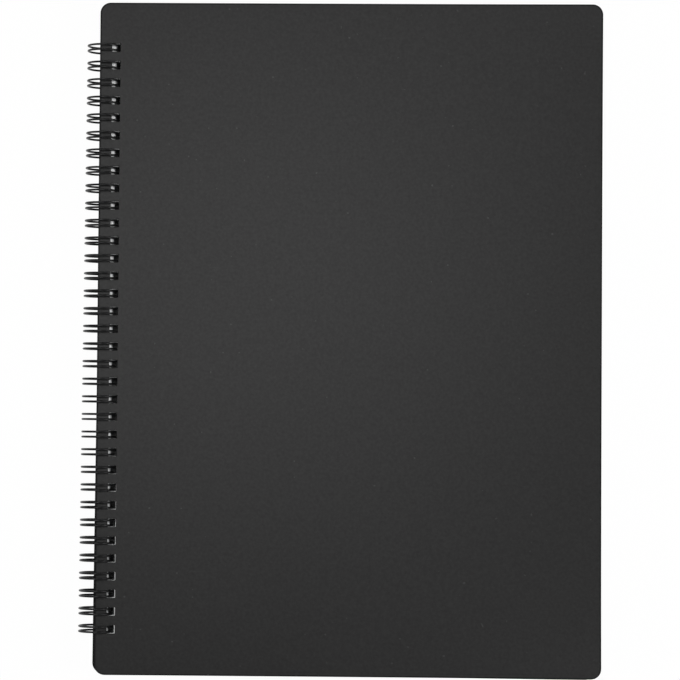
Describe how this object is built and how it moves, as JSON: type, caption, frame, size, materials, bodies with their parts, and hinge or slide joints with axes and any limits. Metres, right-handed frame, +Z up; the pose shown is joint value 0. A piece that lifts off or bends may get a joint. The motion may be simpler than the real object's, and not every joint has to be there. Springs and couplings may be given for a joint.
{
  "type": "display book",
  "caption": "Wire-bound display book: black plastic covers, clear top-loading pockets with black card inserts, and a twin-loop wire that lets every leaf turn over flat.",
  "frame": {"origin": "under the middle of the shut book's box, at the level of the foot of the wire loops", "axes": "+X from the spine to the fore edge, +Y to the top where the pockets open, +Z up out of the front cover"},
  "size_m": [0.2504, 0.3244, 0.0168],
  "materials": {
    "cover_sheet": "matte black polypropylene with a fine grain",
    "coated_wire": "gloss black nylon-coated steel",
    "clear_film": "clear glossy polypropylene film",
    "card": "uncoated black card"
  },
  "bodies": {
    "back_and_wire": {"back_cover": "cover_sheet", "binding_wire": "coated_wire"},
    "pocket_01": {"pocket_01": "clear_film"},
    "pocket_02": {"pocket_02": "clear_film"},
    "pocket_03": {"pocket_03": "clear_film"},
    "pocket_04": {"pocket_04": "clear_film"},
    "pocket_05": {"pocket_05": "clear_film"},
    "pocket_06": {"pocket_06": "clear_film"},
    "pocket_07": {"pocket_07": "clear_film"},
    "pocket_08": {"pocket_08": "clear_film"},
    "pocket_09": {"pocket_09": "clear_film"},
    "pocket_10": {"pocket_10": "clear_film"},
    "pocket_11": {"pocket_11": "clear_film"},
    "pocket_12": {"pocket_12": "clear_film"},
    "pocket_13": {"pocket_13": "clear_film"},
    "pocket_14": {"pocket_14": "clear_film"},
    "pocket_15": {"pocket_15": "clear_film"},
    "pocket_16": {"pocket_16": "clear_film"},
    "pocket_17": {"pocket_17": "clear_film"},
    "pocket_18": {"pocket_18": "clear_film"},
    "pocket_19": {"pocket_19": "clear_film"},
    "pocket_20": {"pocket_20": "clear_film"},
    "front_cover": {"front_cover": "cover_sheet"},
    "insert_01": {"insert_01": "card"},
    "insert_02": {"insert_02": "card"},
    "insert_03": {"insert_03": "card"},
    "insert_04": {"insert_04": "card"},
    "insert_05": {"insert_05": "card"},
    "insert_06": {"insert_06": "card"},
    "insert_07": {"insert_07": "card"},
    "insert_08": {"insert_08": "card"},
    "insert_09": {"insert_09": "card"},
    "insert_10": {"insert_10": "card"},
    "insert_11": {"insert_11": "card"},
    "insert_12": {"insert_12": "card"},
    "insert_13": {"insert_13": "card"},
    "insert_14": {"insert_14": "card"},
    "insert_15": {"insert_15": "card"},
    "insert_16": {"insert_16": "card"},
    "insert_17": {"insert_17": "card"},
    "insert_18": {"insert_18": "card"},
    "insert_19": {"insert_19": "card"},
    "insert_20": {"insert_20": "card"}
  },
  "joints": [
    {"name": "front_cover_turn", "type": "hinge", "parent": "pocket_01", "child": "front_cover", "pos_m": [-0.11678, -0.00069, 0.00839], "axis": [0, -1, 0], "range_deg": [0, 180]},
    {"name": "pocket_01_turn", "type": "hinge", "parent": "pocket_02", "child": "pocket_01", "pos_m": [-0.11678, -0.00069, 0.00839], "axis": [0, -1, 0], "range_deg": [0, 180]},
    {"name": "pocket_02_turn", "type": "hinge", "parent": "pocket_03", "child": "pocket_02", "pos_m": [-0.11678, -0.00069, 0.00839], "axis": [0, -1, 0], "range_deg": [0, 180]},
    {"name": "pocket_03_turn", "type": "hinge", "parent": "pocket_04", "child": "pocket_03", "pos_m": [-0.11678, -0.00069, 0.00839], "axis": [0, -1, 0], "range_deg": [0, 180]},
    {"name": "pocket_04_turn", "type": "hinge", "parent": "pocket_05", "child": "pocket_04", "pos_m": [-0.11678, -0.00069, 0.00839], "axis": [0, -1, 0], "range_deg": [0, 180]},
    {"name": "pocket_05_turn", "type": "hinge", "parent": "pocket_06", "child": "pocket_05", "pos_m": [-0.11678, -0.00069, 0.00839], "axis": [0, -1, 0], "range_deg": [0, 180]},
    {"name": "pocket_06_turn", "type": "hinge", "parent": "pocket_07", "child": "pocket_06", "pos_m": [-0.11678, -0.00069, 0.00839], "axis": [0, -1, 0], "range_deg": [0, 180]},
    {"name": "pocket_07_turn", "type": "hinge", "parent": "pocket_08", "child": "pocket_07", "pos_m": [-0.11678, -0.00069, 0.00839], "axis": [0, -1, 0], "range_deg": [0, 180]},
    {"name": "pocket_08_turn", "type": "hinge", "parent": "pocket_09", "child": "pocket_08", "pos_m": [-0.11678, -0.00069, 0.00839], "axis": [0, -1, 0], "range_deg": [0, 180]},
    {"name": "pocket_09_turn", "type": "hinge", "parent": "pocket_10", "child": "pocket_09", "pos_m": [-0.11678, -0.00069, 0.00839], "axis": [0, -1, 0], "range_deg": [0, 180]},
    {"name": "pocket_10_turn", "type": "hinge", "parent": "pocket_11", "child": "pocket_10", "pos_m": [-0.11678, -0.00069, 0.00839], "axis": [0, -1, 0], "range_deg": [0, 180]},
    {"name": "pocket_11_turn", "type": "hinge", "parent": "pocket_12", "child": "pocket_11", "pos_m": [-0.11678, -0.00069, 0.00839], "axis": [0, -1, 0], "range_deg": [0, 180]},
    {"name": "pocket_12_turn", "type": "hinge", "parent": "pocket_13", "child": "pocket_12", "pos_m": [-0.11678, -0.00069, 0.00839], "axis": [0, -1, 0], "range_deg": [0, 180]},
    {"name": "pocket_13_turn", "type": "hinge", "parent": "pocket_14", "child": "pocket_13", "pos_m": [-0.11678, -0.00069, 0.00839], "axis": [0, -1, 0], "range_deg": [0, 180]},
    {"name": "pocket_14_turn", "type": "hinge", "parent": "pocket_15", "child": "pocket_14", "pos_m": [-0.11678, -0.00069, 0.00839], "axis": [0, -1, 0], "range_deg": [0, 180]},
    {"name": "pocket_15_turn", "type": "hinge", "parent": "pocket_16", "child": "pocket_15", "pos_m": [-0.11678, -0.00069, 0.00839], "axis": [0, -1, 0], "range_deg": [0, 180]},
    {"name": "pocket_16_turn", "type": "hinge", "parent": "pocket_17", "child": "pocket_16", "pos_m": [-0.11678, -0.00069, 0.00839], "axis": [0, -1, 0], "range_deg": [0, 180]},
    {"name": "pocket_17_turn", "type": "hinge", "parent": "pocket_18", "child": "pocket_17", "pos_m": [-0.11678, -0.00069, 0.00839], "axis": [0, -1, 0], "range_deg": [0, 180]},
    {"name": "pocket_18_turn", "type": "hinge", "parent": "pocket_19", "child": "pocket_18", "pos_m": [-0.11678, -0.00069, 0.00839], "axis": [0, -1, 0], "range_deg": [0, 180]},
    {"name": "pocket_19_turn", "type": "hinge", "parent": "pocket_20", "child": "pocket_19", "pos_m": [-0.11678, -0.00069, 0.00839], "axis": [0, -1, 0], "range_deg": [0, 180]},
    {"name": "pocket_20_turn", "type": "hinge", "parent": "back_and_wire", "child": "pocket_20", "pos_m": [-0.11678, -0.00069, 0.00839], "axis": [0, -1, 0], "range_deg": [0, 180]},
    {"name": "insert_01_pull", "type": "slide", "parent": "pocket_01", "child": "insert_01", "axis": [0, 1, 0], "range_m": [0, 0.3]},
    {"name": "insert_02_pull", "type": "slide", "parent": "pocket_02", "child": "insert_02", "axis": [0, 1, 0], "range_m": [0, 0.3]},
    {"name": "insert_03_pull", "type": "slide", "parent": "pocket_03", "child": "insert_03", "axis": [0, 1, 0], "range_m": [0, 0.3]},
    {"name": "insert_04_pull", "type": "slide", "parent": "pocket_04", "child": "insert_04", "axis": [0, 1, 0], "range_m": [0, 0.3]},
    {"name": "insert_05_pull", "type": "slide", "parent": "pocket_05", "child": "insert_05", "axis": [0, 1, 0], "range_m": [0, 0.3]},
    {"name": "insert_06_pull", "type": "slide", "parent": "pocket_06", "child": "insert_06", "axis": [0, 1, 0], "range_m": [0, 0.3]},
    {"name": "insert_07_pull", "type": "slide", "parent": "pocket_07", "child": "insert_07", "axis": [0, 1, 0], "range_m": [0, 0.3]},
    {"name": "insert_08_pull", "type": "slide", "parent": "pocket_08", "child": "insert_08", "axis": [0, 1, 0], "range_m": [0, 0.3]},
    {"name": "insert_09_pull", "type": "slide", "parent": "pocket_09", "child": "insert_09", "axis": [0, 1, 0], "range_m": [0, 0.3]},
    {"name": "insert_10_pull", "type": "slide", "parent": "pocket_10", "child": "insert_10", "axis": [0, 1, 0], "range_m": [0, 0.3]},
    {"name": "insert_11_pull", "type": "slide", "parent": "pocket_11", "child": "insert_11", "axis": [0, 1, 0], "range_m": [0, 0.3]},
    {"name": "insert_12_pull", "type": "slide", "parent": "pocket_12", "child": "insert_12", "axis": [0, 1, 0], "range_m": [0, 0.3]},
    {"name": "insert_13_pull", "type": "slide", "parent": "pocket_13", "child": "insert_13", "axis": [0, 1, 0], "range_m": [0, 0.3]},
    {"name": "insert_14_pull", "type": "slide", "parent": "pocket_14", "child": "insert_14", "axis": [0, 1, 0], "range_m": [0, 0.3]},
    {"name": "insert_15_pull", "type": "slide", "parent": "pocket_15", "child": "insert_15", "axis": [0, 1, 0], "range_m": [0, 0.3]},
    {"name": "insert_16_pull", "type": "slide", "parent": "pocket_16", "child": "insert_16", "axis": [0, 1, 0], "range_m": [0, 0.3]},
    {"name": "insert_17_pull", "type": "slide", "parent": "pocket_17", "child": "insert_17", "axis": [0, 1, 0], "range_m": [0, 0.3]},
    {"name": "insert_18_pull", "type": "slide", "parent": "pocket_18", "child": "insert_18", "axis": [0, 1, 0], "range_m": [0, 0.3]},
    {"name": "insert_19_pull", "type": "slide", "parent": "pocket_19", "child": "insert_19", "axis": [0, 1, 0], "range_m": [0, 0.3]},
    {"name": "insert_20_pull", "type": "slide", "parent": "pocket_20", "child": "insert_20", "axis": [0, 1, 0], "range_m": [0, 0.3]}
  ]
}
